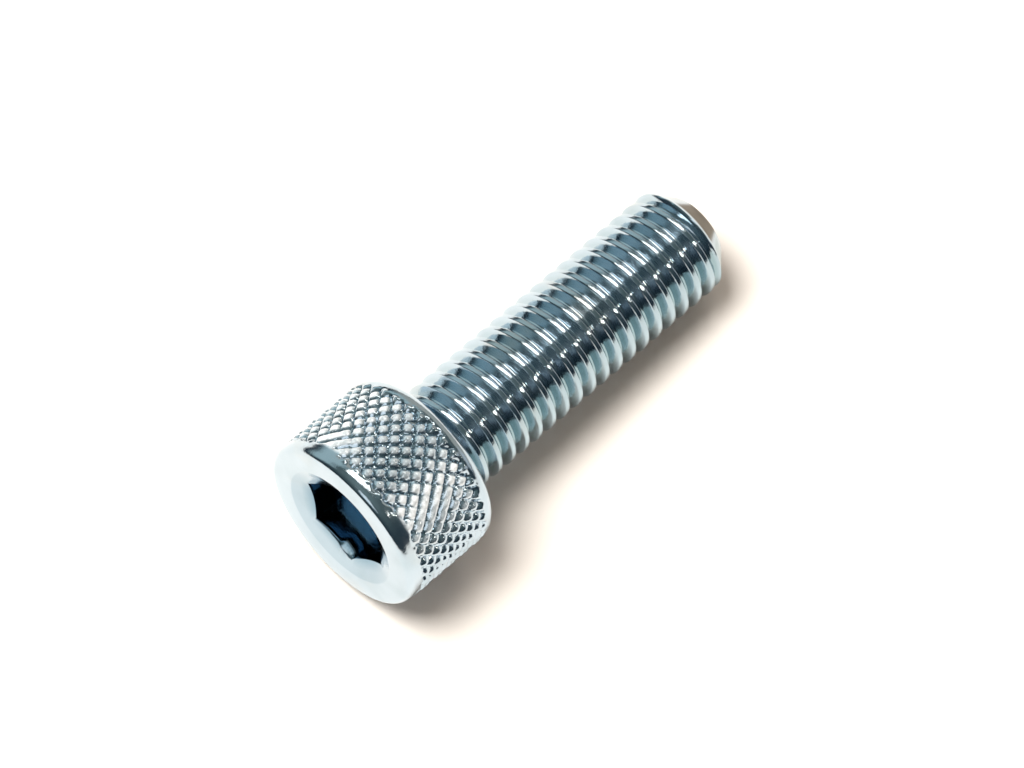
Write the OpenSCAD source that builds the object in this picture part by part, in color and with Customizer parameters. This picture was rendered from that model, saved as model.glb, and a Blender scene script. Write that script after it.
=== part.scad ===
// Hexagon socket head cap screw with a diamond-knurled head, threaded along its whole shank.
// The screw is drawn along +Z, with its bearing face at z = 0, its head below and its shank
// above. lay_down() then rests it on its side, on the head and on the last full thread crest.
// The origin stays at the centre of the bearing face. +X runs along the shank, +Z is up.

/* [Head] */
// Diameter of the smooth bands at the front and the back of the head
head_d = 12.8; // [12.4:0.1:13.4]
// Height of the head, from its front face to its bearing face
head_h = 8; // [7.6:0.1:8.4]
// Radius of the rounded front rim
front_round = 0.4; // [0.2:0.05:0.6]
// Radius of the rounded edge at the bearing face
back_round = 0.9; // [0.4:0.05:1]

/* [Knurl] */
// Number of diamonds round the head
knurl_n = 36; // [28:1:44]
// Number of half diamonds along the head
knurl_rows = 10; // [6:1:14]
// Distance from the front face to the start of the knurl
knurl_start = 0.95; // [0.8:0.05:1.5]
// Distance from the end of the knurl to the bearing face
knurl_end = 1.1; // [1.05:0.05:1.5]
// Height of the diamond tips above the smooth bands
knurl_rise = 0.1; // [0:0.01:0.2]
// Depth of the grooves below the diamond tips
knurl_depth = 0.32; // [0.1:0.01:0.45]

/* [Socket] */
// Width of the hexagon socket across its flats
socket_af = 6.12; // [5.4:0.02:6.4]
// Depth of the flats, from the front face
socket_depth = 4.5; // [3.6:0.1:4.8]
// Depth of the conical bottom below the flats
socket_point = 0.5; // [0.2:0.1:0.8]
// Turn of the socket about the screw's axis
socket_turn = 44; // [0:0.5:60]
// Mouth diameter of the shallow dish round the socket
dish_d = 9.1; // [7.8:0.1:9.8]
// Slope of the dish against the front face
dish_slope = 17; // [8:1:30]

/* [Thread] */
// Diameter over the thread crests
thread_d = 7.87; // [7.4:0.01:8]
// Thread pitch
pitch = 1.25; // [1:0.05:1.4]
// Width of the crest flat, as a share of the pitch
crest_share = 0.24; // [0.12:0.01:0.3]
// Depth of the groove, as a share of the pitch
depth_share = 0.56; // [0.5:0.01:0.58]
// Length of the shank, from the bearing face to the point
shank_l = 25; // [16:0.5:32]
// Diameter at which the fillet under the head meets the bearing face
fillet_d = 8.9; // [8.7:0.1:9.4]
// Radius of the fillet under the head
fillet_r = 0.5; // [0.2:0.05:0.6]
// Diameter of the flat end of the point
point_d = 5.2; // [4:0.1:6]
// Length of the chamfered point
point_len = 1.4; // [0.8:0.1:1.8]
// Length over which the groove runs out at the point
run_out = 1.2; // [0.8:0.1:2]
// Turn of the thread about the screw's axis
thread_turn = 0; // [0:5:355]

/* [Hidden] */
head_r = head_d / 2;
knurl_tip_r = head_r + knurl_rise;
knurl_groove_r = knurl_tip_r - knurl_depth;
knurl_end_r = head_r - 0.04;
knurl_z = -head_h + knurl_start;
knurl_len = head_h - knurl_start - knurl_end;
half_step = knurl_len / knurl_rows;
tuck = 0.15;
dish_depth = (dish_d - socket_af) / 2 * tan(dish_slope);
// Metric form with 60 degree flanks.
crest_r = thread_d / 2;
groove_depth = depth_share * pitch;
flank_w = groove_depth * tan(30);
crest_w = crest_share * pitch;
root_w = pitch - crest_w - 2 * flank_w;
thread_seg = 30;
thread_from = -1.3;
turns = ceil((shank_l + 1.5 - thread_from) / pitch);
last_k = turns * thread_seg;
groove_end = shank_l - 0.75 * point_len;
// The floor touches two tips of the last row of diamonds, one on each side of the lowest line,
// and the thread crest just before the point.
tip_row_z = -knurl_end - half_step;
tip_row_drop = knurl_tip_r * cos(180 / knurl_n);
crest_end = shank_l - point_len;
crest_from = thread_from - pitch * thread_turn / 360 + root_w + flank_w;
last_crest_z = min(crest_end, crest_w + crest_from + pitch * floor((crest_end - crest_from) / pitch));
lay_tilt = atan((tip_row_drop - crest_r) / (last_crest_z - tip_row_z));

// Quarter-circle points about [cx, cy], from angle a to angle b.
function arc(cx, cy, r, a, b, n = 6) =
    [for (i = [0 : n]) let (t = a + (b - a) * i / n) [cx + r * cos(t), cy + r * sin(t)]];

// Body of the head: two smooth bands with rounded outer edges, and a core inside the knurl.
module head_body() {
    z0 = knurl_z;
    z1 = -knurl_end;
    core_r = knurl_groove_r - 0.5;
    rotate_extrude($fn = 96)
        polygon(concat(
            [[0, -head_h]],
            arc(head_r - front_round, -head_h + front_round, front_round, -90, 0),
            [[head_r, z0], [core_r, z0], [core_r, z1], [head_r, z1]],
            arc(head_r - back_round, -back_round, back_round, 0, 90),
            [[0, 0]]
        ));
}

// Point of the knurl's lattice: ring j, half step q round the head. Diamond tips and groove
// crossings take turns along both, so that the last ring has no tip on the lowest line, q = 0.
// The outermost rings run level with the smooth bands.
function is_tip(j, q) = (q + j + knurl_rows) % 2 == 0;
function knurl_r(j, q) =
    j <= 0 || j >= knurl_rows ? knurl_end_r : is_tip(j, q) ? knurl_tip_r : knurl_groove_r;
function knurl_ring_z(j) =
    j < 0 ? knurl_z - tuck
    : j > knurl_rows ? knurl_z + knurl_len + tuck
    : knurl_z + j * half_step;

// Knurled band: four triangles round every diamond tip, closed by a flat cap at each end.
module knurl() {
    n = 2 * knurl_n;
    top = knurl_rows + 2;
    pts = [for (j = [-1 : knurl_rows + 1], q = [0 : n - 1])
        [knurl_r(j, q) * cos(180 * q / knurl_n), knurl_r(j, q) * sin(180 * q / knurl_n),
            knurl_ring_z(j)]];
    tips = [for (j = [0 : knurl_rows], q = [0 : n - 1]) if (is_tip(j, q))
        let (
            c = (j + 1) * n + q,
            left = (j + 1) * n + (q + n - 1) % n,
            right = (j + 1) * n + (q + 1) % n
        )
        each concat(
            j < knurl_rows ? [[c, left, c + n], [c, c + n, right]] : [],
            j > 0 ? [[c, right, c - n], [c, c - n, left]] : []
        )];
    collars = [for (j = [0, top - 1], q = [0 : n - 1]) let (a = j * n + q, b = j * n + (q + 1) % n)
        [a, a + n, b + n, b]];
    caps = [[for (q = [0 : n - 1]) q], [for (q = [n - 1 : -1 : 0]) top * n + q]];
    polyhedron(points = pts, faces = concat(tips, collars, caps));
}

// Thread grid: k counts facets along the helix, m the corners of one pitch in axial order,
// which are groove start, groove end, crest start and crest end.
function thread_z(k, m) =
    thread_from + pitch * k / thread_seg + [0, root_w, root_w + flank_w, root_w + flank_w + crest_w][m];
function thread_r(k, m) =
    m > 1 ? crest_r
    : crest_r - groove_depth * max(0.02, min(1, (groove_end - thread_z(k, m)) / run_out));
function thread_pt(k, m) =
    let (a = 360 * k / thread_seg + thread_turn)
    [thread_r(k, m) * cos(a), thread_r(k, m) * sin(a), thread_z(k, m)];
// Corner m = 4 of facet k is corner 0 one turn later. Past the last facet only corner 0 is kept.
function thread_id(k, m) =
    m == 4 ? thread_id(k + thread_seg, 0)
    : k <= last_k ? 4 * k + m
    : 4 * last_k + 3 + k - last_k;

// Threaded rod with a right-hand helix, longer than the shank at both ends.
module thread_rod() {
    end_k = last_k + thread_seg;
    pts = concat(
        [for (k = [0 : last_k], m = [0 : 3]) thread_pt(k, m)],
        [for (k = [last_k + 1 : end_k]) thread_pt(k, 0)],
        [[0, 0, thread_from], [0, 0, thread_z(end_k, 0)]]
    );
    low = len(pts) - 2;
    high = len(pts) - 1;
    strips = [for (k = [0 : last_k - 1], m = [0 : 3]) each [
        [thread_id(k, m), thread_id(k, m + 1), thread_id(k + 1, m + 1)],
        [thread_id(k, m), thread_id(k + 1, m + 1), thread_id(k + 1, m)]
    ]];
    ends = concat(
        [for (k = [0 : thread_seg - 1]) [thread_id(k, 0), thread_id(k + 1, 0), low]],
        [for (m = [0 : 3]) [thread_id(0, m + 1), thread_id(0, m), low]],
        [for (k = [last_k : end_k - 1]) [thread_id(k + 1, 0), thread_id(k, 0), high]],
        [for (m = [0 : 3]) [thread_id(last_k, m), thread_id(last_k, m + 1), high]]
    );
    polyhedron(points = pts, faces = concat(strips, ends));
}

// Shank: the rod cut off square and chamfered at the point.
module shank() {
    slope = (crest_r - point_d / 2) / point_len;
    intersection() {
        thread_rod();
        rotate_extrude($fn = 96)
            polygon([
                [0, thread_from - 2], [crest_r + 1, thread_from - 2],
                [crest_r + 1, shank_l - point_len - 1 / slope], [point_d / 2, shank_l], [0, shank_l]
            ]);
    }
}

// Hollow fillet between the bearing face and the first thread.
module under_fillet() {
    r = fillet_d / 2;
    rotate_extrude($fn = 96)
        polygon(concat(
            [[0, -0.4], [r, -0.4]],
            arc(r, fillet_r, fillet_r, -90, -180, 5),
            [[0, fillet_r]]
        ));
}

// Socket: shallow conical dish, hexagonal flats and a conical bottom.
module socket() {
    r = socket_af / sqrt(3);
    translate([0, 0, -head_h]) {
        rotate([0, 0, socket_turn]) translate([0, 0, -1]) cylinder(r = r, h = socket_depth + 1, $fn = 6);
        translate([0, 0, socket_depth]) cylinder(r1 = socket_af / 2 - 0.02, r2 = 0.3, h = socket_point, $fn = 64);
        rotate_extrude($fn = 96)
            polygon([
                [0, -1], [dish_d / 2 + 1 / tan(dish_slope), -1], [dish_d / 2, 0],
                [socket_af / 2 - 0.2, dish_depth + 0.2 * tan(dish_slope)], [0, dish_depth + 0.2 * tan(dish_slope)]
            ]);
    }
}

// Rests the upright screw on its side, along +X, with the point a little lower than the head.
module lay_down() {
    rotate([0, 90 + lay_tilt, 0]) children();
}

// The whole screw, one piece of blue-passivated zinc-plated steel.
module screw() {
    color([0.72, 0.77, 0.8])
        lay_down()
            difference() {
                union() {
                    head_body();
                    knurl();
                    shank();
                    under_fillet();
                }
                socket();
            }
}

screw();
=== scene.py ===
"""Blue-zinc socket head cap screw, lying on a white table.

The screw is one closed surface in place of the CAD node "screw". It is worked out upright, in
millimetres, with the bearing face at z = 0, the head below it and the shank above it. lay_down()
then rests it on its side and turns it into metres, as the CAD part lies.
"""

import math
from types import SimpleNamespace

import bpy
import numpy as np
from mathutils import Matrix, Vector


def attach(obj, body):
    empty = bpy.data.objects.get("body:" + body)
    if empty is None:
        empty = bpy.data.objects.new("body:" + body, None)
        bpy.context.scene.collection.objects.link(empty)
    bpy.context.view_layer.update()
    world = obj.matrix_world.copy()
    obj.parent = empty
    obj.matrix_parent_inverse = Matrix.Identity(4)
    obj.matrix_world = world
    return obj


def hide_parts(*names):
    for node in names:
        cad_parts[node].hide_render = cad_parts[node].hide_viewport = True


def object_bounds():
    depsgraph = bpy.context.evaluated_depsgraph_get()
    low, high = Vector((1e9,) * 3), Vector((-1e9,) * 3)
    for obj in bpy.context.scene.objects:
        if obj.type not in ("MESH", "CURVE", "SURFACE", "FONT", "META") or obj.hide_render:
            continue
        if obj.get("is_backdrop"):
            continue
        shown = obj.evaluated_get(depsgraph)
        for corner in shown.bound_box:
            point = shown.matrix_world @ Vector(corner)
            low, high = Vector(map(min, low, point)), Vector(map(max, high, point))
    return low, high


bl_info = {
    "name": "Socket head cap screw",
    "version": (1, 0, 0),
    "blender": (4, 5, 0),
    "location": "View3D > Sidebar > Cap screw",
    "description": "Knurled socket head cap screw with a rolled thread and blue zinc plating",
    "category": "Object",
}

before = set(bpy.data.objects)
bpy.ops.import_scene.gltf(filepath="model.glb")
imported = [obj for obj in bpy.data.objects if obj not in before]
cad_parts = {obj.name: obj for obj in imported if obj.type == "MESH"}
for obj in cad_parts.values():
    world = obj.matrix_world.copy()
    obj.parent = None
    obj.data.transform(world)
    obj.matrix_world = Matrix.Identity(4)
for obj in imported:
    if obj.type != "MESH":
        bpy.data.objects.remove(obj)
MM = 0.001


# ---------------------------------------------------------------- sizes and colours

class ScrewSizes(bpy.types.PropertyGroup):
    """Sizes of the screw."""

    head_d: bpy.props.FloatProperty(
        name="Head diameter", description="Diameter of the smooth bands of the head",
        default=12.8 * MM, unit="LENGTH")
    head_h: bpy.props.FloatProperty(
        name="Head height", description="From the front face to the bearing face",
        default=8.0 * MM, unit="LENGTH")
    front_round: bpy.props.FloatProperty(
        name="Front rim round", description="Width of the rounded front rim",
        default=0.4 * MM, unit="LENGTH")
    front_taper: bpy.props.FloatProperty(
        name="Front rim taper", description="Length of the rounded front rim along the side",
        default=0.6 * MM, unit="LENGTH")
    back_round: bpy.props.FloatProperty(
        name="Back edge round", description="Radius of the edge at the bearing face",
        default=0.9 * MM, unit="LENGTH")
    knurl_n: bpy.props.IntProperty(
        name="Diamonds round", description="Number of knurl diamonds round the head", default=36)
    knurl_rows: bpy.props.IntProperty(
        name="Half diamonds along", description="Number of half diamonds along the head",
        default=10)
    knurl_start: bpy.props.FloatProperty(
        name="Knurl start", description="From the front face to the knurl",
        default=0.95 * MM, unit="LENGTH")
    knurl_end: bpy.props.FloatProperty(
        name="Knurl end", description="From the knurl to the bearing face",
        default=1.1 * MM, unit="LENGTH")
    knurl_rise: bpy.props.FloatProperty(
        name="Knurl rise", description="Height of the diamonds above the smooth bands",
        default=0.1 * MM, unit="LENGTH")
    knurl_depth: bpy.props.FloatProperty(
        name="Knurl depth", description="Depth of the grooves below the diamonds",
        default=0.32 * MM, unit="LENGTH")
    socket_af: bpy.props.FloatProperty(
        name="Socket width", description="Width of the hexagon across its flats",
        default=6.12 * MM, unit="LENGTH")
    socket_depth: bpy.props.FloatProperty(
        name="Socket depth", description="Depth of the flats from the front face",
        default=4.5 * MM, unit="LENGTH")
    socket_point: bpy.props.FloatProperty(
        name="Socket cone", description="Depth of the cone below the flats",
        default=0.5 * MM, unit="LENGTH")
    socket_turn: bpy.props.FloatProperty(
        name="Socket turn", description="Turn of the hexagon about the axis",
        default=math.radians(44.0), subtype="ANGLE")
    dish_d: bpy.props.FloatProperty(
        name="Dish diameter", description="Mouth diameter of the shallow dish",
        default=9.1 * MM, unit="LENGTH")
    dish_slope: bpy.props.FloatProperty(
        name="Dish slope", description="Slope of the dish against the front face",
        default=math.radians(21.5), subtype="ANGLE")
    thread_d: bpy.props.FloatProperty(
        name="Thread diameter", description="Diameter over the thread crests",
        default=7.87 * MM, unit="LENGTH")
    pitch: bpy.props.FloatProperty(
        name="Pitch", description="Thread pitch", default=1.25 * MM, unit="LENGTH")
    crest_share: bpy.props.FloatProperty(
        name="Crest share", description="Width of the crest as a share of the pitch",
        default=0.26, subtype="FACTOR", min=0.0, max=1.0)
    depth_share: bpy.props.FloatProperty(
        name="Depth share", description="Depth of the groove as a share of the pitch",
        default=0.52, subtype="FACTOR", min=0.0, max=1.0)
    shank_l: bpy.props.FloatProperty(
        name="Shank length", description="From the bearing face to the point",
        default=25.0 * MM, unit="LENGTH")
    fillet_d: bpy.props.FloatProperty(
        name="Fillet diameter", description="Where the fillet meets the bearing face",
        default=8.9 * MM, unit="LENGTH")
    fillet_r: bpy.props.FloatProperty(
        name="Fillet radius", description="Radius of the fillet under the head",
        default=0.5 * MM, unit="LENGTH")
    point_d: bpy.props.FloatProperty(
        name="Point diameter", description="Diameter of the flat end",
        default=5.2 * MM, unit="LENGTH")
    point_len: bpy.props.FloatProperty(
        name="Point length", description="Length of the chamfered point",
        default=1.4 * MM, unit="LENGTH")
    run_out: bpy.props.FloatProperty(
        name="Run-out", description="Length over which the groove fades at the point",
        default=1.2 * MM, unit="LENGTH")
    thread_turn: bpy.props.FloatProperty(
        name="Thread turn", description="Turn of the thread about the axis", default=0.0,
        subtype="ANGLE")
    lay_tilt: bpy.props.FloatProperty(
        name="Lying tilt", description="Dip of the axis when the screw lies down",
        default=math.radians(5.8041), subtype="ANGLE")


class ScrewFinish(bpy.types.PropertyGroup):
    """Colours and polish of the plating, and the colours of the shade, highlights and reflection
    painted into it.
    """

    plating: bpy.props.FloatVectorProperty(
        name="Plating", description="Main colour of the blue zinc", subtype="COLOR", size=4,
        min=0.0, max=1.0, default=(0.505, 0.62, 0.715, 1.0))
    plating_warm: bpy.props.FloatVectorProperty(
        name="Warm stain", description="Colour of the thinner, stained plating", subtype="COLOR",
        size=4, min=0.0, max=1.0, default=(0.59, 0.57, 0.52, 1.0))
    # Deep blue: random darker patches of the plating, and also the painted shade on the thread.
    plating_deep: bpy.props.FloatVectorProperty(
        name="Deep blue", description="Colour of the thick plating in hollows", subtype="COLOR",
        size=4, min=0.0, max=1.0, default=(0.28, 0.40, 0.45, 1.0))
    # Darker blue of the socket: painted shade of the recess.
    hollow_blue: bpy.props.FloatVectorProperty(
        name="Socket blue", description="Colour of the plating in the socket", subtype="COLOR",
        size=4, min=0.0, max=1.0, default=(0.24, 0.37, 0.47, 1.0))
    # Pale matt colour of the painted highlights on the knurl's tips and on one lip in the socket.
    highlight_pale: bpy.props.FloatVectorProperty(
        name="Pressed tips", description="Colour of the matt tips of the knurl", subtype="COLOR",
        size=4, min=0.0, max=1.0, default=(0.84, 0.90, 0.95, 1.0))
    # Olive of the chamfer: on one side a painted reflection of the brown surroundings.
    olive_cut_and_reflection: bpy.props.FloatVectorProperty(
        name="Cut end", description="Colour of the chamfer at the point", subtype="COLOR",
        size=4, min=0.0, max=1.0, default=(0.11, 0.098, 0.075, 1.0))
    polish: bpy.props.FloatProperty(
        name="Roughness", description="Roughness of the bright plating", subtype="FACTOR",
        min=0.0, max=1.0, default=0.12)


class StageSettings(bpy.types.PropertyGroup):
    """Table, light and camera."""

    table: bpy.props.FloatVectorProperty(
        name="Table", description="Colour of the table", subtype="COLOR", size=4,
        min=0.0, max=1.0, default=(0.89, 0.868, 0.845, 1.0))
    window_power: bpy.props.FloatProperty(
        name="Window", description="Power of the large soft light", unit="POWER", default=6.1)
    bar_power: bpy.props.FloatProperty(
        name="Bar light", description="Power of the light that draws the highlights",
        unit="POWER", default=0.35)
    lamp_power: bpy.props.FloatProperty(
        name="Desk lamp", description="Power of the small low light", unit="POWER", default=0.077)
    lens: bpy.props.FloatProperty(
        name="Lens", description="Focal length", default=246.6, unit="CAMERA")
    azimuth: bpy.props.FloatProperty(
        name="Azimuth", description="Direction of the camera round the screw",
        default=math.radians(-45.14), subtype="ANGLE")
    elevation: bpy.props.FloatProperty(
        name="Elevation", description="Height of the camera over the horizon",
        default=math.radians(64.73), subtype="ANGLE")
    distance: bpy.props.FloatProperty(
        name="Distance", description="From the camera to the point it looks at", unit="LENGTH",
        default=0.45854)
    look_x: bpy.props.FloatProperty(
        name="Look at X", description="Point the camera looks at, along the shank",
        unit="LENGTH", default=0.00746)
    look_y: bpy.props.FloatProperty(
        name="Look at Y", description="Point the camera looks at, across the shank",
        unit="LENGTH", default=-0.00035)


def in_millimetres(settings):
    """The settings as plain numbers, with lengths in millimetres. They are rounded, because a
    property keeps only seven digits."""
    values = {}
    for prop in settings.bl_rna.properties:
        if prop.identifier not in ("rna_type", "name"):
            value = getattr(settings, prop.identifier)
            values[prop.identifier] = round(value / MM, 5) if prop.unit == "LENGTH" else value
    return SimpleNamespace(**values)


# ---------------------------------------------------------------- formulas

def smooth_max(x, k):
    """Rounded max(x, 0): half of x plus the root of x squared plus k squared."""
    return 0.5 * (x + np.sqrt(x * x + k * k))


def smooth_step(x):
    """3x^2 - 2x^3 on x held between 0 and 1."""
    x = np.clip(x, 0.0, 1.0)
    return x * x * (3.0 - 2.0 * x)


def rise(x, start, width):
    """0 below start, 1 above start plus width, and a smooth step between."""
    return smooth_step((x - start) / width)


def fall(x, end, width):
    """1 below end minus width, 0 above end, and a smooth step between."""
    return smooth_step((end - x) / width)


def bell(x, width):
    """1 where x is 0, falling to both sides as exp(-(x / width)^2)."""
    return np.exp(-((x / width) ** 2))


def turned(degrees, middle):
    """Degrees from the middle, held between -180 and 180."""
    return np.mod(degrees - middle + 180.0, 360.0) - 180.0


def wander(a, b, seed, waves=5):
    """Even, repeatable wobble between about -1 and 1: a sum of cosines in a and b with whole
    numbers of waves round b, so that it closes on itself."""
    rng = np.random.default_rng(seed)
    total = np.zeros(np.broadcast(a, b).shape)
    for n in range(waves):
        total = total + rng.uniform(0.5, 1.0) * np.cos(
            rng.uniform(0.4, 1.6) * a * (n + 1) + rng.integers(1, 4) * (n + 1) * b
            + rng.uniform(0.0, 2.0 * math.pi))
    return total / waves


def ring_angles(columns):
    """That many even steps round the axis, in radians."""
    return 2.0 * math.pi * np.arange(columns) / columns


def arc(cx, cy, rx, ry, a, b, n):
    """Points of an ellipse about (cx, cy) from angle a to angle b, in degrees."""
    t = np.radians(np.linspace(a, b, n))
    return np.stack([cx + rx * np.cos(t), cy + ry * np.sin(t)], axis=1)


def on_axis(radius, height, angle):
    """Points at that distance from the axis, that height and that angle."""
    radius, height, angle = np.broadcast_arrays(radius, height, angle)
    return np.stack([radius * np.cos(angle), radius * np.sin(angle), height], axis=-1)


def hexagon_radius(angle, width, turn):
    """Distance from the axis to a hexagon's side: half the width over the cosine of the angle
    from the middle of that side."""
    t = np.mod(angle - turn, math.pi / 3.0)
    return 0.5 * width / np.cos(t - math.pi / 6.0)


# ---------------------------------------------------------------- head

# Angles round the head: six to each half diamond, a whole number to each side of the hexagon.
COLUMNS = 432
SIDE_ROWS = 58
# One of the two families of knurl grooves is shallower about such a place: middle and half
# width in degrees, distance from the front face and reach in millimetres, share taken off.
SHALLOW_U = (156.0, 12.0, 1.9, 0.8, 0.85)
SHALLOW_V = (226.0, 14.0, 3.4, 2.0, 0.60)
# Smooth patches of the front band that reach into the knurl: middle and half width in degrees,
# reach in millimetres.
SMOOTH_PATCHES = ((155.0, 11.0, 0.45), (186.0, 9.0, 0.20), (222.0, 14.0, 0.40),
                  (262.0, 18.0, 0.30), (350.0, 25.0, 0.30), (90.0, 25.0, 0.30))
# The last row of diamonds stops short at the lowest line, where the head meets the table: half
# width in degrees, length in millimetres.
CLEAR_HALF, CLEAR = 15.0, 0.35
# One flat of the socket leans outward near its mouth: middle and half width in degrees, lean in
# millimetres.
LEAN_AT, LEAN_HALF, LEAN = -5.0, 11.0, 0.17
# Millimetres: the cone's blunt tip, its gap to the flats and the broken edge between the two.
CONE_TIP_R, CONE_GAP, FOOT_BREAK = 0.3, 0.02, 0.03


def knurl_height(s, z, angle):
    """Height of the knurl over the smooth bands. Two families of V grooves cross at 45 degrees:
    du and dv go from 0 in a groove to 1 midway between two. A diamond falls with
    w = (((1 - du) a)^4 + ((1 - dv) b)^4)^(1/4), a pyramid with soft edges, and a or b below 1
    leaves one family of grooves shallower, so that neighbours join into a ridge. The knurl
    fades out at both ends in waves."""
    step = (s.head_h - s.knurl_start - s.knurl_end) / s.knurl_rows
    along = (z + s.knurl_end) / (2.0 * step)
    round_ = s.knurl_n * angle / (2.0 * math.pi) + 0.5
    u, v = along + round_, along - round_
    du = np.abs(np.mod(u + 0.5, 1.0) - 0.5) * 2.0
    dv = np.abs(np.mod(v + 0.5, 1.0) - 0.5) * 2.0
    from_front = z + s.head_h
    degrees = np.degrees(angle)

    def shallow(place, stretch, seed):
        middle, half, where, reach, share = place
        near = bell(turned(degrees, middle), half) * bell(from_front - where, reach)
        patchy = 0.25 * np.clip(wander(z * stretch, angle, seed), 0.0, 1.0)
        return np.clip(patchy + share * near, 0.0, 0.95)

    w = (((1.0 - du) * (1.0 - shallow(SHALLOW_U, 0.9, 4))) ** 4
         + ((1.0 - dv) * (1.0 - shallow(SHALLOW_V, 0.8, 5))) ** 4) ** 0.25
    shape = 1.0 - np.minimum(w, 1.0) ** (1.9 + 0.3 * wander(z * 1.3, angle * 2.0, 6))
    start = s.knurl_start - 0.05 + 0.08 * wander(0.0 * z, angle * 3.0, 7)
    for middle, half, reach in SMOOTH_PATCHES:
        start = start + reach * bell(turned(degrees, middle), half)
    end = (s.head_h - s.knurl_end + 0.05 + 0.12 * wander(0.0 * z, angle * 2.0, 9)
           - CLEAR * bell(turned(degrees, 0.0), CLEAR_HALF))
    fade = rise(from_front, start - 0.1, 0.3) * fall(from_front, end + 0.15, 0.3)
    fade = np.clip(fade * (0.95 + 0.10 * wander(z * 0.7, angle, 12)), 0.0, 1.0)
    low = s.knurl_rise - s.knurl_depth
    return (low + s.knurl_depth * shape) * fade


def socket_rings(s, angle):
    """Rings from the middle of the socket's bottom over its cone, up the flats and over the dish
    to the front face. The flats keep the hexagon's distance from the axis, plus the lean at the
    mouth, and the dish's depth is its slope times the distance from its outer edge. Each ring
    is a radius and a height for every angle."""
    dish_r, slope, face = 0.5 * s.dish_d, math.tan(s.dish_slope), -s.head_h
    floor = face + s.socket_depth
    cone_r = 0.5 * s.socket_af - CONE_GAP
    flats = hexagon_radius(angle, s.socket_af, s.socket_turn)
    lean = LEAN * np.exp(-(turned(np.degrees(angle), LEAN_AT) / LEAN_HALF) ** 4)
    mouth = flats + lean

    def dish_z(radius):
        return face + (dish_r - radius) * slope

    rings = [(0.0, floor + s.socket_point)]
    rings += [(CONE_TIP_R + (cone_r - CONE_TIP_R) * share, floor + s.socket_point * (1.0 - share))
              for share in (0.15, 0.5, 1.0)]
    foot = floor - FOOT_BREAK
    rings += [(0.5 * (cone_r + flats), floor), (flats - FOOT_BREAK, floor), (flats, foot)]
    rings += [(flats, foot + (dish_z(flats) + 0.05 - foot) * share) for share in (0.33, 0.66, 0.88)]
    rings += [(flats + 0.35 * lean, dish_z(mouth) + 0.26), (mouth, dish_z(mouth) + 0.05),
              (mouth + 0.012, dish_z(mouth) + 0.015)]
    for share in (0.0, 0.5, 1.0):
        r = mouth + 0.05 + (dish_r - 0.06 - mouth - 0.05) * share
        rings.append((r, dish_z(r)))
    rings += [(dish_r - 0.01, face + 0.006), (dish_r + 0.05, face)]
    return [on_axis(r, z, angle) for r, z in rings]


def head_surface(s):
    """Grid from the bottom of the socket to the front face, over the front rim, along the
    knurled side, whose radius is the smooth bands' plus the knurl's height, and over the back
    edge to the bearing face. The socket's rings are turned so that columns lie on the corners
    of the hexagon."""
    angle = ring_angles(COLUMNS)
    column = 2.0 * math.pi / COLUMNS
    to_corner = s.socket_turn - round(s.socket_turn / column) * column
    head_r = 0.5 * s.head_d
    rows = socket_rings(s, angle + to_corner)
    rows.append(on_axis(0.5 * (0.5 * s.dish_d + head_r), -s.head_h, angle))
    for r, z in arc(head_r - s.front_round, -s.head_h + s.front_taper, s.front_round,
                    s.front_taper, -90, 0, 10):
        rows.append(on_axis(r, z, angle))
    z = np.linspace(-s.head_h + s.front_taper + 0.04, -s.back_round - 0.04, SIDE_ROWS)[:, None]
    rows.extend(on_axis(head_r + knurl_height(s, z, angle), z, angle))
    for r, z in arc(head_r - s.back_round, -s.back_round, s.back_round, s.back_round, 0, 90, 11):
        rows.append(on_axis(r, z, angle))
    rows.append(on_axis(0.5 * s.fillet_d + 0.35, 0.0, angle))
    return np.stack(rows)


# ---------------------------------------------------------------- shank

# Angles round the shank, a quarter of those round the head.
TURN_COLUMNS = 108
# Height at which the CAD's helix begins, inside the head.
THREAD_FROM = -1.3
# Rounding of the thread's shoulders and roots, and of the chamfer's edge.
THREAD_SOFT, CHAMFER_SOFT = 0.03, 0.05
# Rows of the helical grid about a crest's edge and about a flank's foot.
SHOULDER_ROWS = np.array([-0.08, -0.035, -0.012, 0.006, 0.03, 0.07])
FOOT_ROWS = np.array([-0.05, -0.02, 0.0, 0.018, 0.05])
POINT_ROWS = 26


def thread_form(s):
    """Width of the crest and of a flank along the axis, for flanks at 60 degrees to it, and the
    height of the first crest's middle at angle 0."""
    crest_w = s.crest_share * s.pitch
    flank_w = s.depth_share * s.pitch / math.sqrt(3.0)
    return crest_w, flank_w, THREAD_FROM + s.pitch - 0.5 * crest_w - flank_w


def thread_drop(s, z, angle):
    """Depth of the thread below its crests at height z and that angle. The distance c along the
    axis from the nearest crest's middle grows evenly along a right-hand helix. The flanks fall
    as (c - half the crest) times the root of 3, and the root and the crest's shoulders are
    rounded. The groove fades out before the point."""
    depth = s.depth_share * s.pitch
    crest_w, _, start = thread_form(s)
    turns = (z - start) / s.pitch - (angle - s.thread_turn) / (2.0 * math.pi)
    c = np.abs(np.mod(turns + 0.5, 1.0) - 0.5) * s.pitch
    drop = smooth_max((c - 0.5 * crest_w) * math.sqrt(3.0), THREAD_SOFT)
    drop = depth - smooth_max(depth - drop, THREAD_SOFT)
    groove_end = s.shank_l - 0.75 * s.point_len
    return drop * smooth_step((groove_end - z) / s.run_out + 0.02)


def neck_surface(s):
    """Level rings from the bearing face over the hollow fillet to the first thread."""
    angle = ring_angles(TURN_COLUMNS)
    r = 0.5 * s.fillet_d
    rows = [(r + 0.12, 0.0), *arc(r, s.fillet_r, s.fillet_r, s.fillet_r, -90, -180, 7)]
    return np.stack([on_axis(x, z, angle) for x, z in rows])


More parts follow.
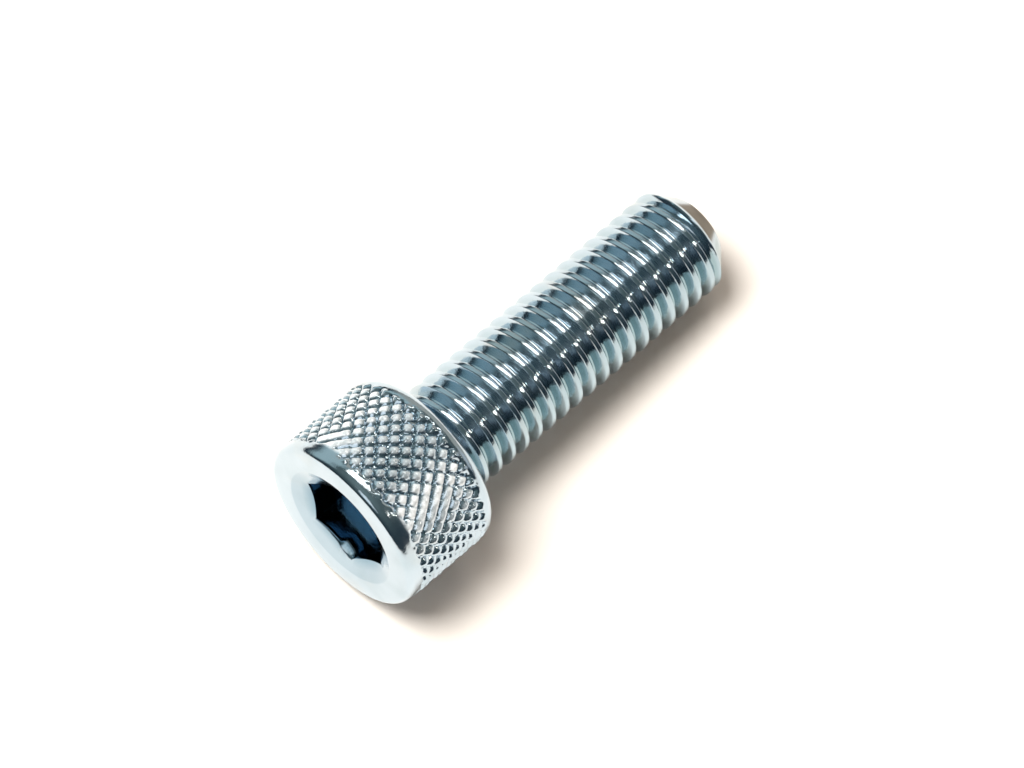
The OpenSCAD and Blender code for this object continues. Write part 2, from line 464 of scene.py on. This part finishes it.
def thread_surface(s, z0, z1):
    """Helical grid: rows follow the thread, at fixed distances from the crest's middle, and are
    held between heights z0 and z1, so that the grid ends in level rings. The second value is
    the number of rows in one pitch."""
    crest_w, flank_w, start = thread_form(s)
    edge = 0.5 * crest_w
    foot = edge + flank_w
    half = np.concatenate([[0.0], edge + SHOULDER_ROWS, [0.5 * (edge + foot)], foot + FOOT_ROWS])
    offsets = np.concatenate([half, [0.5 * s.pitch], s.pitch - half[:0:-1]])
    turn = np.arange(-3, int((z1 - start) / s.pitch) + 4)
    level = (start + s.pitch * turn[:, None] + offsets[None, :]).reshape(-1)
    angle = ring_angles(TURN_COLUMNS)
    z = level[:, None] + s.pitch * (angle - s.thread_turn) / (2.0 * math.pi)
    z = np.clip(z, z0, z1)
    return on_axis(0.5 * s.thread_d - thread_drop(s, z, angle), z, angle), len(offsets)


def point_surface(s, z0):
    """Level rings over the chamfered point: the smaller of the thread and the chamfer, whose
    edge is a little broken, and then the flat end. The first ring is the thread's last one."""
    angle = ring_angles(TURN_COLUMNS)
    crest_r = 0.5 * s.thread_d
    z = np.linspace(z0, s.shank_l, POINT_ROWS)[:, None]
    slope = (crest_r - 0.5 * s.point_d) / s.point_len
    cone = crest_r - smooth_max((z - (s.shank_l - s.point_len)) * slope, CHAMFER_SOFT)
    thread = crest_r - thread_drop(s, z, angle)
    r = np.minimum(cone, thread)
    r[0] = thread[0]
    ends = [on_axis(share * r[-1].min(), s.shank_l, angle) for share in (0.96, 0.5, 0.0)]
    return np.concatenate([on_axis(r, z, angle), np.stack(ends)])


# ---------------------------------------------------------------- mesh of the whole screw

def grid_faces(rows, columns, first=0, wrap_rows=0):
    """Two triangles for each cell of a closed grid. The last column joins the first one,
    wrap_rows further on, so wrap_rows is the points of one pitch on a helix and 0 on a ring."""
    i, j = np.meshgrid(np.arange(rows - 1), np.arange(columns), indexing="ij")
    k = (j + 1) % columns
    shift = np.where(j == columns - 1, wrap_rows, 0)
    keep = i + shift < rows - 1
    a, b = i * columns + j, (i + shift) * columns + k
    c, d = (i + 1 + shift) * columns + k, (i + 1) * columns + j
    a, b, c, d = a[keep], b[keep], c[keep], d[keep]
    return np.concatenate([np.stack([a, b, c], 1), np.stack([a, c, d], 1)]) + first


def step_down_faces(fine, coarse, first_fine, first_coarse):
    """Triangles from a ring of fine points to a ring with a part of them: a fan from each
    coarse point over its fine neighbours, and one triangle to the next coarse point."""
    ratio = fine // coarse
    f = np.arange(fine)
    near = ((f + ratio // 2) // ratio) % coarse
    fans = np.stack([first_fine + f, first_fine + (f + 1) % fine, first_coarse + near], 1)
    c = np.arange(coarse)
    last = (c * ratio + (ratio + 1) // 2) % fine
    joins = np.stack([first_coarse + c, first_fine + last, first_coarse + (c + 1) % coarse], 1)
    return np.concatenate([fans, joins])


# Points nearer than about this become one point.
WELD = 2e-5


def weld(points, faces):
    """Makes points that coincide one point and drops the triangles that this closes up."""
    keys = np.round(points / WELD).astype(np.int64)
    _, first, back = np.unique(keys, axis=0, return_index=True, return_inverse=True)
    back = back.reshape(-1)
    faces = back[faces]
    whole = ((faces[:, 0] != faces[:, 1]) & (faces[:, 1] != faces[:, 2])
             & (faces[:, 2] != faces[:, 0]))
    return points[first], faces[whole]


def finish_marks(s, points):
    """Where the plating differs and where shade, highlights and a reflection are painted into it,
    as numbers from 0 to 1 for every point. Each is a product of smooth steps of the point's
    distance r from the axis, its height z, its distance from the front face and its angle about the
    axis in degrees."""
    r, z = np.hypot(points[:, 0], points[:, 1]), points[:, 2]
    from_front = z + s.head_h
    degrees = np.mod(np.degrees(np.arctan2(points[:, 1], points[:, 0])), 360.0)
    crest_r = 0.5 * s.thread_d

    # darker blue and smoother in the socket, and partly so on the dish: the darker blue is painted
    # shade of the recess
    socket = (fall(r, 0.56 * s.socket_af + 0.25, 0.2)
              * fall(from_front, s.socket_depth + 0.6, 0.1) * rise(from_front, 0.2, 0.4))
    dish = fall(r, 0.5 * s.dish_d - 0.02, 0.05) * fall(from_front, 1.2, 0.1)

    # olive and duller on one side of the chamfer, a painted reflection of the brown surroundings,
    # with a trace of it all over the point
    one_side = fall(np.abs(degrees - 195.0), 31.0, 8.0) * rise(r, 0.5 * s.point_d - 0.06, 0.05)
    cut = rise(z, s.shank_l - s.point_len + 0.1, 0.15) * (0.12 + 0.88 * one_side)

    # painted shade: darker, bluer tint on the thread's shaded side and in the grooves of its bright
    # side
    groove = fall(r, crest_r - 0.06, 0.25)
    shaded = rise(degrees, 222.0, 12.0) * fall(degrees, 352.0, 30.0)
    bright = rise(degrees, 8.0, 30.0) * fall(degrees, 165.0, 15.0)
    thread_shade = (rise(z, 0.3, 0.3) * fall(z, s.shank_l - 0.1, 0.3)
             * ((0.45 + 0.55 * groove) * shaded + 0.30 * groove * bright))

    # painted highlight: pale, matt tips of the knurl, most of all on two stretches of the side
    tips = (rise(r, 0.5 * s.head_d - 0.08, 0.11) * rise(from_front, s.knurl_start + 0.1, 0.3)
            * fall(z, -s.knurl_end - 0.1, 0.3) * fall(degrees, 255.0, 20.0))
    stretches = 0.52 * bell(degrees - 146.0, 24.0) + 0.58 * bell(degrees - 217.0, 13.0)
    matt_highlight = tips * np.clip(0.35 + stretches, 0.0, 0.9)

    # painted highlight on the lip of the leaning flat
    lip = fall(r, 3.52, 0.1) * fall(from_front, 0.86, 0.1) * rise(from_front, 0.42, 0.08)
    lip_highlight = lip * fall(np.abs(turned(degrees, LEAN_AT - 2.0)), 11.0, 4.0)

    return {"hollow": np.maximum(socket, 0.34 * dish), "cut": cut, "thread_shade": thread_shade,
            "matt_highlight": np.maximum(matt_highlight, 0.9 * lip_highlight)}


def lay_down(points, tilt):
    """Turns the upright screw by a quarter turn plus the tilt about Y and makes it metres."""
    t = 0.5 * math.pi + tilt
    x = points[:, 0] * math.cos(t) + points[:, 2] * math.sin(t)
    z = -points[:, 0] * math.sin(t) + points[:, 2] * math.cos(t)
    return np.stack([x, points[:, 1], z], axis=1) * MM


def screw_mesh(s):
    """All surfaces of the screw, joined ring to ring, welded and laid down."""
    thread_end = s.shank_l - s.point_len - 0.35
    thread, per_pitch = thread_surface(s, s.fillet_r, thread_end)
    head = head_surface(s)
    neck = np.concatenate([neck_surface(s), thread[:1]])
    parts, faces, first = [], [], 0
    for grid, wrap in ((head, 0), (neck, 0), (thread, per_pitch),
                       (point_surface(s, thread_end), 0)):
        parts.append(grid.reshape(-1, 3))
        faces.append(grid_faces(grid.shape[0], grid.shape[1], first, wrap))
        first += len(parts[-1])
    faces.append(step_down_faces(COLUMNS, TURN_COLUMNS, len(parts[0]) - COLUMNS, len(parts[0])))
    points, triangles = weld(np.concatenate(parts), np.concatenate(faces))
    return lay_down(points, s.lay_tilt), triangles, finish_marks(s, points)


def build_object(name, points, triangles, sharp_angle, marks=None):
    """New mesh object from the arrays, smooth except at edges sharper than sharp_angle. Each of
    the marks is a number for every point, kept as an attribute."""
    mesh = bpy.data.meshes.new(name)
    mesh.vertices.add(len(points))
    mesh.vertices.foreach_set("co", points.astype(np.float32).ravel())
    mesh.loops.add(triangles.size)
    mesh.loops.foreach_set("vertex_index", triangles.astype(np.int32).ravel())
    mesh.polygons.add(len(triangles))
    mesh.polygons.foreach_set("loop_start", np.arange(0, triangles.size, 3, dtype=np.int32))
    mesh.update(calc_edges=True)
    mesh.validate()
    mesh.polygons.foreach_set("use_smooth", np.ones(len(mesh.polygons), dtype=bool))
    mesh.set_sharp_from_angle(angle=math.radians(sharp_angle))
    for mark, values in (marks or {}).items():
        layer = mesh.attributes.new(mark, "FLOAT", "POINT")
        layer.data.foreach_set("value", values.astype(np.float32))
    obj = bpy.data.objects.new(name, mesh)
    bpy.context.scene.collection.objects.link(obj)
    return obj


# ---------------------------------------------------------------- shader nodes

def connect(tree, socket, value):
    """Links another node's output to the socket, or sets the socket to a plain value."""
    if isinstance(value, bpy.types.NodeSocket):
        tree.links.new(value, socket)
    else:
        socket.default_value = value


def math_node(tree, operation, *values):
    """Result of that operation on the values."""
    node = tree.nodes.new("ShaderNodeMath")
    node.operation = operation
    for socket, value in zip(node.inputs, values):
        connect(tree, socket, value)
    return node.outputs[0]


def mix_node(tree, factor, a, b):
    """Colour a, mixed towards b by the factor."""
    node = tree.nodes.new("ShaderNodeMix")
    node.data_type = "RGBA"
    for socket, value in zip((node.inputs["Factor"], *node.inputs[6:8]), (factor, a, b)):
        connect(tree, socket, value)
    return node.outputs[2]


def range_node(tree, value, low, high, way="LINEAR"):
    """The value carried over, so that low[0] becomes low[1] and high[0] becomes high[1]."""
    node = tree.nodes.new("ShaderNodeMapRange")
    node.interpolation_type = way
    for name, number in zip(("From Min", "To Min", "From Max", "To Max"), (*low, *high)):
        node.inputs[name].default_value = number
    connect(tree, node.inputs["Value"], value)
    return node.outputs["Result"]


# ---------------------------------------------------------------- plating

# Fineness of the noises that vary the plating's tint, stains, polish and skin.
CLOUDS, STAINS, POLISH, SKIN = 420.0, 230.0, 900.0, 2600.0
BUMP_HEIGHT = 0.04 * MM


def plating_material(f):
    """Bright blue zinc: a metal whose tint wanders between pale cyan and a thin warm stain, and
    whose polish is broken by fine pits. Four marks of the mesh change it: the socket is painted a
    darker blue as painted shade and is smoother, part of the thread is painted darker and bluer as
    painted shade, pale matt patches on the knurl's tips and on one lip in the socket are painted
    highlights, and one side of the chamfer at the point is painted olive as a painted reflection
    and is duller."""
    mat = bpy.data.materials.new("blue_zinc")
    mat.use_nodes = True
    tree = mat.node_tree
    bsdf = tree.nodes["Principled BSDF"]
    place = tree.nodes.new("ShaderNodeTexCoord")

    def noise(scale, detail, roughness=0.5):
        node = tree.nodes.new("ShaderNodeTexNoise")
        node.inputs["Scale"].default_value = scale
        node.inputs["Detail"].default_value = detail
        node.inputs["Roughness"].default_value = roughness
        tree.links.new(place.outputs["Object"], node.inputs["Vector"])
        return node.outputs["Fac"]

    def mark(name):
        node = tree.nodes.new("ShaderNodeAttribute")
        node.attribute_name = name
        return node.outputs["Fac"]

    tint = f.plating[:]
    skin = noise(SKIN, 3.0, 0.6)
    # The noises vary the plating's own tone and stains; the marks paint shade on the thread and in
    # the socket, highlights on the knurl and one lip, and a reflection on the chamfer.
    for share, colour in (
            (range_node(tree, noise(CLOUDS, 3.0), (0.42, 0.0), (0.70, 0.25)), f.plating_deep),
            (range_node(tree, noise(STAINS, 2.0), (0.58, 0.0), (0.76, 0.35)), f.plating_warm),
            (mark("thread_shade"), f.plating_deep),
            (mark("matt_highlight"), f.highlight_pale),
            (mark("hollow"), f.hollow_blue),
            (mark("cut"), f.olive_cut_and_reflection)):
        tint = mix_node(tree, share, tint, colour[:])
    tree.links.new(tint, bsdf.inputs["Base Color"])

    rough = range_node(tree, noise(POLISH, 4.0), (0.35, f.polish * 0.8), (0.75, f.polish * 1.6))
    rough = math_node(tree, "MULTIPLY_ADD", mark("hollow"), -0.05, rough)
    rough = math_node(tree, "MULTIPLY_ADD", mark("cut"), 0.25, rough)
    tree.links.new(rough, bsdf.inputs["Roughness"])

    # The painted highlights are also matt, so that the lights show them pale.
    matt = math_node(tree, "MULTIPLY", mark("matt_highlight"),
                     range_node(tree, skin, (0.38, 0.6), (0.58, 1.05)))
    tree.links.new(math_node(tree, "SUBTRACT", 1.0, matt), bsdf.inputs["Metallic"])

    bump = tree.nodes.new("ShaderNodeBump")
    connect(tree, bump.inputs["Strength"],
            math_node(tree, "MULTIPLY_ADD", mark("hollow"), -0.22, 0.25))
    bump.inputs["Distance"].default_value = BUMP_HEIGHT
    tree.links.new(skin, bump.inputs["Height"])
    tree.links.new(bump.outputs["Normal"], bsdf.inputs["Normal"])
    return mat


class OBJECT_OT_cap_screw(bpy.types.Operator):
    """Make the whole screw: socket, knurled head, rolled thread and chamfered point"""

    bl_idname = "object.cap_screw"
    bl_label = "Cap screw"

    def execute(self, context):
        points, triangles, marks = screw_mesh(in_millimetres(context.scene.screw_sizes))
        if not np.isfinite(points).all():
            raise RuntimeError("the screw's sizes give no surface")
        screw = build_object("cap_screw", points, triangles, sharp_angle=32.0, marks=marks)
        screw.data.materials.append(plating_material(context.scene.screw_finish))
        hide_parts("screw")
        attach(screw, "root")
        return {"FINISHED"}


# ---------------------------------------------------------------- stage

TABLE_HALF = 0.6
# Place in metres, width and height in metres, colour. All lights face the origin.
WINDOW = ((-0.15, 0.15, 0.57), (0.33, 0.33), (1.0, 0.957, 0.895))
BAR = ((0.238, 0.07, 0.434), (0.30, 0.072), (1.0, 0.90, 0.80))
LAMP = ((0.245, -0.305, 0.31), (0.03, 0.03), (1.0, 0.86, 0.72))
# Even light of the room on matt faces.
ROOM_FILL = (0.21, 0.155, 0.115)
# Colour of the room at each height over the horizon, in degrees.
ROOM_HEIGHTS = (
    (0.0, (0.023, 0.037, 0.050)),
    (15.0, (0.036, 0.053, 0.064)),
    (30.0, (0.058, 0.080, 0.085)),
    (50.0, (0.104, 0.136, 0.134)),
    (90.0, (0.235, 0.285, 0.275)),
)
# Azimuth and then elevation of a patch, as middle, half width and soft edge in degrees; colour.
ROOM_PATCHES = (
    ((75.0, 30.0, 22.0), (30.0, 11.0, 14.0), (0.50, 0.61, 0.60)),
    ((8.0, 32.0, 22.0), (15.0, 16.0, 12.0), (0.49, 0.46, 0.40)),
    ((-38.0, 7.0, 10.0), (16.0, 7.0, 10.0), (0.6, 0.6, 0.6)),
    ((-160.0, 14.0, 10.0), (58.0, 9.0, 7.0), (1.2, 1.2, 1.2)),
)


def flat_sheet(half, height):
    """Square sheet of side twice half at that height, as two triangles."""
    points = np.array([[-half, -half, height], [half, -half, height],
                       [half, half, height], [-half, half, height]])
    return points, np.array([[0, 1, 2], [0, 2, 3]])


def table_material(colour):
    """Matt white card."""
    mat = bpy.data.materials.new("white_card")
    mat.use_nodes = True
    bsdf = mat.node_tree.nodes["Principled BSDF"]
    bsdf.inputs["Base Color"].default_value = colour
    bsdf.inputs["Roughness"].default_value = 0.85
    bsdf.inputs["Specular IOR Level"].default_value = 0.1
    return mat


def area_light(name, power, place, size, colour):
    """Soft rectangular light at place, facing the origin."""
    data = bpy.data.lights.new(name, "AREA")
    data.shape = "RECTANGLE"
    data.size, data.size_y = size
    data.energy = power
    data.color = colour
    obj = bpy.data.objects.new(name, data)
    bpy.context.scene.collection.objects.link(obj)
    obj.location = place
    obj.rotation_mode = "QUATERNION"
    obj.rotation_quaternion = (-Vector(place)).to_track_quat("-Z", "Y")
    return obj


def room_world():
    """Dim room round the table: a colour for each height over the horizon, with soft-edged
    patches mixed over it. A patch is full within half its width of its middle azimuth and
    elevation, and fades out smoothly over its edge. Matt faces see one even colour instead."""
    world = bpy.data.worlds.new("room")
    bpy.context.scene.world = world
    world.use_nodes = True
    tree = world.node_tree
    place = tree.nodes.new("ShaderNodeTexCoord")
    split = tree.nodes.new("ShaderNodeSeparateXYZ")
    tree.links.new(place.outputs["Generated"], split.inputs["Vector"])
    azimuth = math_node(tree, "ARCTAN2", split.outputs["Y"], split.outputs["X"])
    elevation = math_node(tree, "ARCSINE", split.outputs["Z"])

    def near(off, half, edge):
        return range_node(tree, math_node(tree, "ABSOLUTE", off),
                          (math.radians(half + edge), 0.0), (math.radians(half), 1.0), "SMOOTHSTEP")

    ramp = tree.nodes.new("ShaderNodeValToRGB")
    connect(tree, ramp.inputs["Fac"], math_node(tree, "DIVIDE", elevation, 0.5 * math.pi))
    stops = ramp.color_ramp.elements
    stops.remove(stops[1])
    for height, colour in ROOM_HEIGHTS[1:]:
        stops.new(height / 90.0).color = (*colour, 1.0)
    stops[0].color = (*ROOM_HEIGHTS[0][1], 1.0)
    room = ramp.outputs["Color"]
    for (az, *az_widths), (el, *el_widths), colour in ROOM_PATCHES:
        turn = math_node(tree, "SUBTRACT", azimuth, math.radians(az))
        turn = math_node(tree, "WRAP", turn, math.pi, -math.pi)
        height = math_node(tree, "SUBTRACT", elevation, math.radians(el))
        both = math_node(tree, "MULTIPLY", near(turn, *az_widths), near(height, *el_widths))
        room = mix_node(tree, both, room, (*colour, 1.0))
    matt = tree.nodes.new("ShaderNodeLightPath").outputs["Is Diffuse Ray"]
    room = mix_node(tree, matt, room, (*ROOM_FILL, 1.0))
    tree.links.new(room, tree.nodes["Background"].inputs["Color"])


def stage_camera(t):
    """Camera at that distance, azimuth and elevation from the point it looks at."""
    back = Vector((math.sin(t.azimuth) * math.cos(t.elevation),
                   -math.cos(t.azimuth) * math.cos(t.elevation), math.sin(t.elevation)))
    data = bpy.data.cameras.new("camera")
    data.sensor_width = 36.0
    data.lens = t.lens
    data.clip_start, data.clip_end = 0.01, 20.0
    camera = bpy.data.objects.new("camera", data)
    camera.location = Vector((t.look_x, t.look_y, 0.0)) + back * t.distance
    camera.rotation_mode = "QUATERNION"
    camera.rotation_quaternion = (-back).to_track_quat("-Z", "Y")
    return camera


class SCENE_OT_stage(bpy.types.Operator):
    """Make the white table, the soft studio light and the camera"""

    bl_idname = "scene.stage"
    bl_label = "Table, light and camera"

    def execute(self, context):
        scene = context.scene
        t = scene.stage_settings
        low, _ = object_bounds()
        table = build_object("table", *flat_sheet(TABLE_HALF, low[2]), sharp_angle=30.0)
        table.data.materials.append(table_material(t.table[:]))
        table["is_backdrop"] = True
        room_world()
        window = area_light("window", t.window_power, *WINDOW)
        window.visible_glossy = False
        area_light("top_light", t.bar_power, *BAR)
        area_light("desk_lamp", t.lamp_power, *LAMP)
        scene.camera = stage_camera(t)
        scene.collection.objects.link(scene.camera)
        scene.view_settings.view_transform = "Standard"
        return {"FINISHED"}


# ---------------------------------------------------------------- add-on

class VIEW3D_PT_cap_screw(bpy.types.Panel):
    """Sizes, finish and stage of the cap screw"""

    bl_label = "Cap screw"
    bl_idname = "VIEW3D_PT_cap_screw"
    bl_space_type = "VIEW_3D"
    bl_region_type = "UI"
    bl_category = "Cap screw"

    def draw(self, context):
        for group in ("screw_sizes", "screw_finish", "stage_settings"):
            box = self.layout.box()
            settings = getattr(context.scene, group)
            for name in settings.bl_rna.properties.keys():
                if name not in ("rna_type", "name"):
                    box.prop(settings, name)
        self.layout.operator(OBJECT_OT_cap_screw.bl_idname)
        self.layout.operator(SCENE_OT_stage.bl_idname)


CLASSES = (ScrewSizes, ScrewFinish, StageSettings, OBJECT_OT_cap_screw, SCENE_OT_stage,
           VIEW3D_PT_cap_screw)


def register():
    for cls in CLASSES:
        bpy.utils.register_class(cls)
    bpy.types.Scene.screw_sizes = bpy.props.PointerProperty(type=ScrewSizes)
    bpy.types.Scene.screw_finish = bpy.props.PointerProperty(type=ScrewFinish)
    bpy.types.Scene.stage_settings = bpy.props.PointerProperty(type=StageSettings)


def unregister():
    for name in ("stage_settings", "screw_finish", "screw_sizes"):
        delattr(bpy.types.Scene, name)
    for cls in reversed(CLASSES):
        bpy.utils.unregister_class(cls)


def main():
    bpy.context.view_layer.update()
    register()
    bpy.ops.object.cap_screw()
    bpy.ops.scene.stage()


if __name__ == "__main__":
    main()
